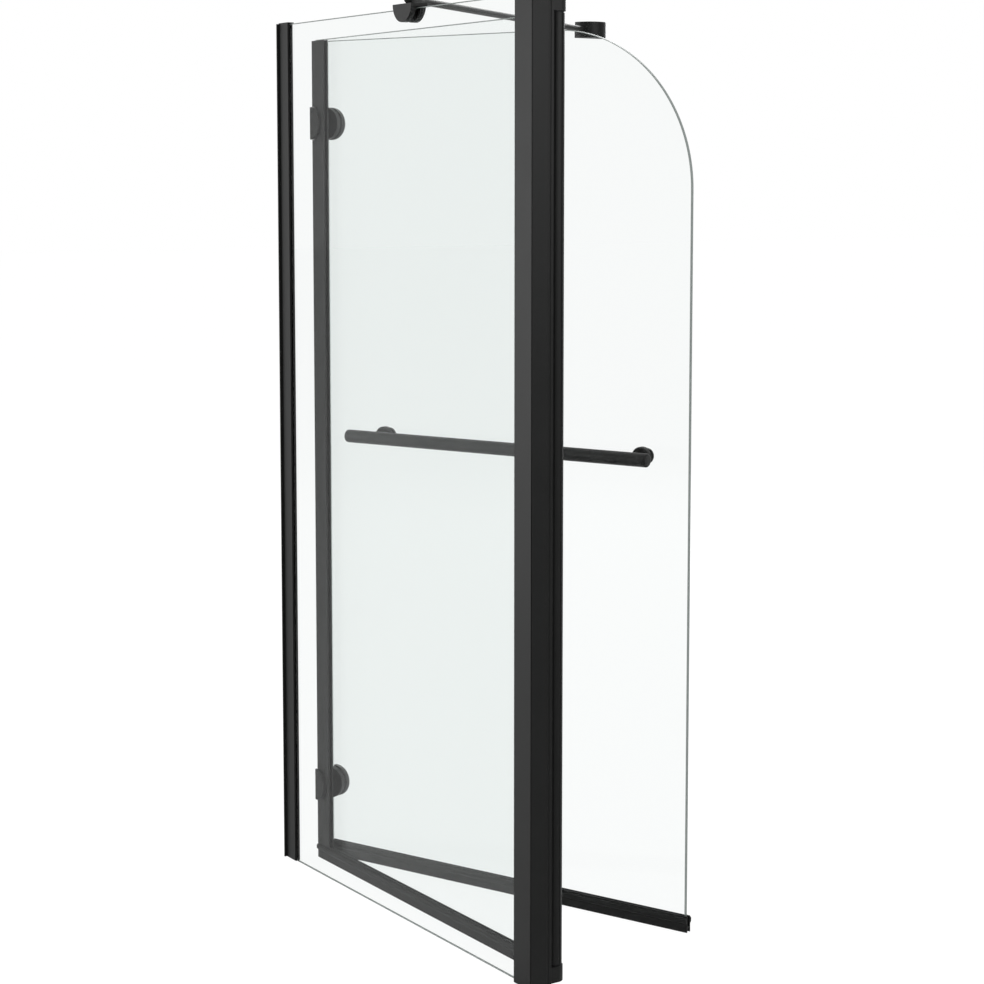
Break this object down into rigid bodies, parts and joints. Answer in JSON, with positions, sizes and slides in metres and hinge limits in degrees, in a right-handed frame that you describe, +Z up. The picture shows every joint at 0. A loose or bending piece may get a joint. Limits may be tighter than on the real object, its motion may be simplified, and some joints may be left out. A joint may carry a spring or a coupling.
{
  "type": "folding shower screen",
  "caption": "Black-framed corner shower screen: fixed side glass, corner post, and a pivoting door of two hinged glass leaves with a round top corner, towel rail and wall brace.",
  "frame": {"origin": "centre of the corner post's foot", "axes": "+Z up, +X along the door front from the post, +Y along the fixed side glass from the post to the wall"},
  "size_m": [0.61, 0.694, 1.3186],
  "materials": {
    "black_metal": "satin black powder coat",
    "clear_glass": "clear toughened glass, polished edges",
    "black_rubber": "smooth matt black",
    "black_plastic": "moulded black nylon",
    "steel_fixings": "bright stainless"
  },
  "bodies": {
    "frame": {"corner_post": "black_metal", "top_pivot_block": "black_metal", "bottom_pivot_block": "black_metal", "pivot_block_screws": "steel_fixings", "top_pivot_pin": "steel_fixings", "bottom_pivot_pin": "steel_fixings", "post_gaskets": "black_rubber", "side_glass": "clear_glass", "wall_profile": "black_metal", "wall_profile_cap": "black_plastic", "wall_gaskets": "black_rubber", "brace_clamp": "black_metal", "brace_clamp_pads": "black_rubber", "brace_clamp_screws": "steel_fixings", "brace_swivel": "black_metal", "brace_swivel_screw": "steel_fixings", "brace_rod": "black_metal", "brace_wall_bracket": "black_metal", "brace_wall_plate": "steel_fixings", "brace_bracket_screw": "steel_fixings"},
    "inner_leaf": {"pivot_stile": "black_metal", "stile_gaskets": "black_rubber", "top_pivot_bush": "black_plastic", "bottom_pivot_bush": "black_plastic", "inner_glass": "clear_glass", "inner_drip_seal": "black_rubber", "inner_closing_strip": "black_metal", "upper_inner_hinge_plate": "black_metal", "upper_inner_hinge_cover": "black_metal", "lower_inner_hinge_plate": "black_metal", "lower_inner_hinge_cover": "black_metal", "inner_hinge_pads": "black_rubber", "inner_hinge_screws": "steel_fixings", "upper_hinge_pin": "steel_fixings", "lower_hinge_pin": "steel_fixings"},
    "outer_leaf": {"outer_glass": "clear_glass", "outer_drip_seal": "black_rubber", "upper_outer_hinge_plate": "black_metal", "upper_outer_hinge_cover": "black_metal", "lower_outer_hinge_plate": "black_metal", "lower_outer_hinge_cover": "black_metal", "outer_hinge_pads": "black_rubber", "outer_hinge_screws": "steel_fixings", "hinge_bushes": "black_plastic", "towel_rail": "black_metal", "towel_rail_end_caps": "black_metal", "towel_rail_posts": "black_metal", "towel_rail_washers": "black_rubber", "towel_rail_back_discs": "black_metal", "towel_rail_screws": "steel_fixings"}
  },
  "joints": [
    {"name": "leaf_pivot", "type": "hinge", "parent": "frame", "child": "inner_leaf", "pos_m": [0.0325, 0, 0], "axis": [0, 0, 1], "range_deg": [-180, 0]},
    {"name": "fold_hinge", "type": "hinge", "parent": "inner_leaf", "child": "outer_leaf", "pos_m": [0.0455, 0.644, 0], "axis": [0, 0, 1], "range_deg": [0, 158.4]}
  ]
}
